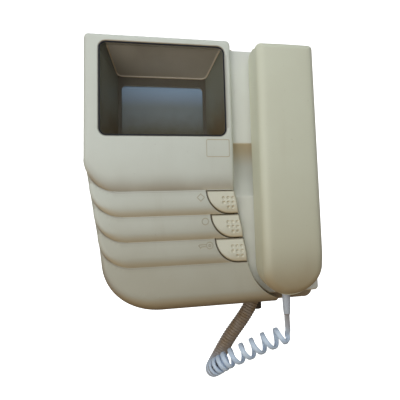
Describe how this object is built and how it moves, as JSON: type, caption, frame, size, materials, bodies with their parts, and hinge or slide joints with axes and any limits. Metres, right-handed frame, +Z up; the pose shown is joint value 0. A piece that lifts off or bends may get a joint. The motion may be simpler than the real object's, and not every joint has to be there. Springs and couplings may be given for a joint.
{
  "type": "video intercom monitor",
  "caption": "Wall-mounted video intercom monitor with a hooded screen window, lapped lower panels with push buttons, and a lift-off handset on a curly cord in a side cradle.",
  "frame": {"origin": "centre of the rectangle of wall screws, on the wall plane behind the bracket", "axes": "+X to the right seen from the front, +Y from the front into the wall, +Z up"},
  "size_m": [0.208, 0.092, 0.3035],
  "materials": {
    "ivory_abs": "satin",
    "cradle_abs": "satin",
    "handset_abs": "satin",
    "key_abs": "satin",
    "housing_abs": "fine texture",
    "smoked_acrylic": "polished",
    "seal_rubber": "matte",
    "hood_plastic": "matte",
    "tube_glass": "polished",
    "funnel_glass": "graphite coated",
    "dark_plastic": "moulded",
    "copper_wire": "enamelled wire",
    "board_paper": "printed board",
    "bracket_steel": "zinc plated",
    "screw_steel": "zinc plated",
    "sink_aluminium": "extruded",
    "capacitor_sleeve": "shrink sleeve",
    "terminal_green": "moulded",
    "speaker_steel": "painted",
    "plunger_acetal": "natural",
    "spring_steel": "wire",
    "ballast_steel": "plain",
    "cord_vinyl": "smooth"
  },
  "bodies": {
    "base": {"wall_bracket": "bracket_steel", "rear_housing": "housing_abs", "front_cover": "ivory_abs", "window_gasket": "seal_rubber", "window_pane": "smoked_acrylic", "screen_hood": "hood_plastic", "tube_faceplate": "tube_glass", "tube_funnel": "funnel_glass", "deflection_yoke": "dark_plastic", "yoke_windings": "copper_wire", "socket_board": "board_paper", "tube_strap": "bracket_steel", "main_board": "board_paper", "line_transformer": "dark_plastic", "capacitors": "capacitor_sleeve", "heat_sink": "sink_aluminium", "terminal_block": "terminal_green", "terminal_screws": "screw_steel", "call_speaker": "speaker_steel", "button_board": "board_paper", "tact_switches": "dark_plastic", "handset_cradle": "cradle_abs", "hook_spring": "spring_steel", "hook_switch": "dark_plastic", "cover_screws": "screw_steel", "cradle_screws": "screw_steel", "lock_screw": "screw_steel", "base_strain_relief": "seal_rubber"},
    "monitor_key": {"monitor_button": "key_abs", "monitor_plunger": "plunger_acetal"},
    "light_key": {"light_button": "key_abs", "light_plunger": "plunger_acetal"},
    "door_key": {"door_button": "key_abs", "door_plunger": "plunger_acetal"},
    "hook": {"hook_plunger": "plunger_acetal"},
    "handset": {"handset_front_shell": "handset_abs", "handset_back_shell": "handset_abs", "receiver_cap": "handset_abs", "microphone_cap": "handset_abs", "receiver_capsule": "dark_plastic", "microphone_capsule": "dark_plastic", "handset_weight": "ballast_steel", "handset_screws": "screw_steel", "handset_strain_relief": "cord_vinyl", "curly_cord": "cord_vinyl"}
  },
  "joints": [
    {"name": "handset_lift", "type": "slide", "parent": "base", "child": "handset", "axis": [0, -0.9903, 0.1392], "range_m": [0, 0.07], "deforming": ["curly_cord"]},
    {"name": "hook_slide", "type": "slide", "parent": "base", "child": "hook", "axis": [0, -1, 0], "range_m": [0, 0.004], "deforming": ["hook_spring"]},
    {"name": "monitor_press", "type": "slide", "parent": "base", "child": "monitor_key", "axis": [0, 1, 0], "range_m": [0, 0.0012], "stiffness_N_per_m": 400, "springref_m": -0.001},
    {"name": "light_press", "type": "slide", "parent": "base", "child": "light_key", "axis": [0, 1, 0], "range_m": [0, 0.0012], "stiffness_N_per_m": 400, "springref_m": -0.001},
    {"name": "door_press", "type": "slide", "parent": "base", "child": "door_key", "axis": [0, 1, 0], "range_m": [0, 0.0012], "stiffness_N_per_m": 400, "springref_m": -0.001}
  ],
  "couplings": [
    {"joint": "hook_slide", "follows": "handset_lift", "ratio": 0.057}
  ]
}
